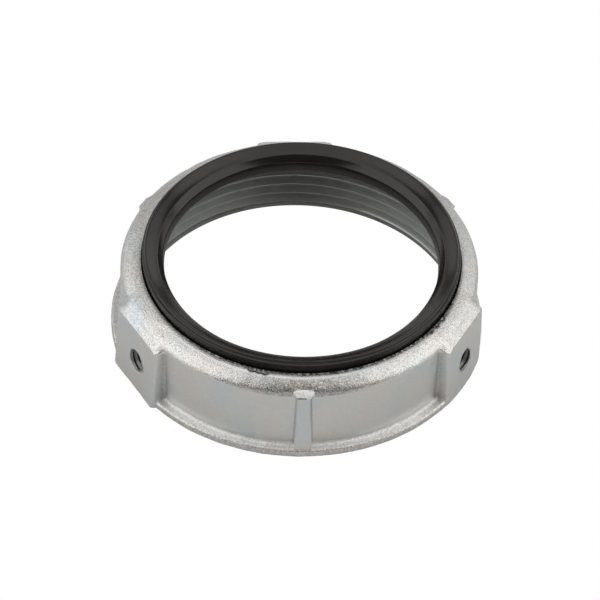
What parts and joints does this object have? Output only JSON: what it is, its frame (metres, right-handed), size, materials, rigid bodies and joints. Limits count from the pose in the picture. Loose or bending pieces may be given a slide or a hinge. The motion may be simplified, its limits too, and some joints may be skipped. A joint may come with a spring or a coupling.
{
  "type": "insulated conduit bushing",
  "caption": "Cast zinc-plated ring with an internal conduit thread, flat pads with tapped cross holes, ribs and a black plastic liner that protects cables at the throat.",
  "frame": {"origin": "on the conduit thread's axis in the plane of the lower face", "axes": "+Z along the thread's axis from the lower face to the liner; +Y through the middle of one pad; the front rib is at -Y"},
  "size_m": [0.096, 0.0961, 0.0254],
  "materials": {
    "zinc_plated_iron": "bright zinc plating over a fine sand-cast skin",
    "black_plastic": "satin moulded"
  },
  "bodies": {
    "root": {"bushing_body": "zinc_plated_iron", "insulating_liner": "black_plastic"}
  },
  "joints": []
}
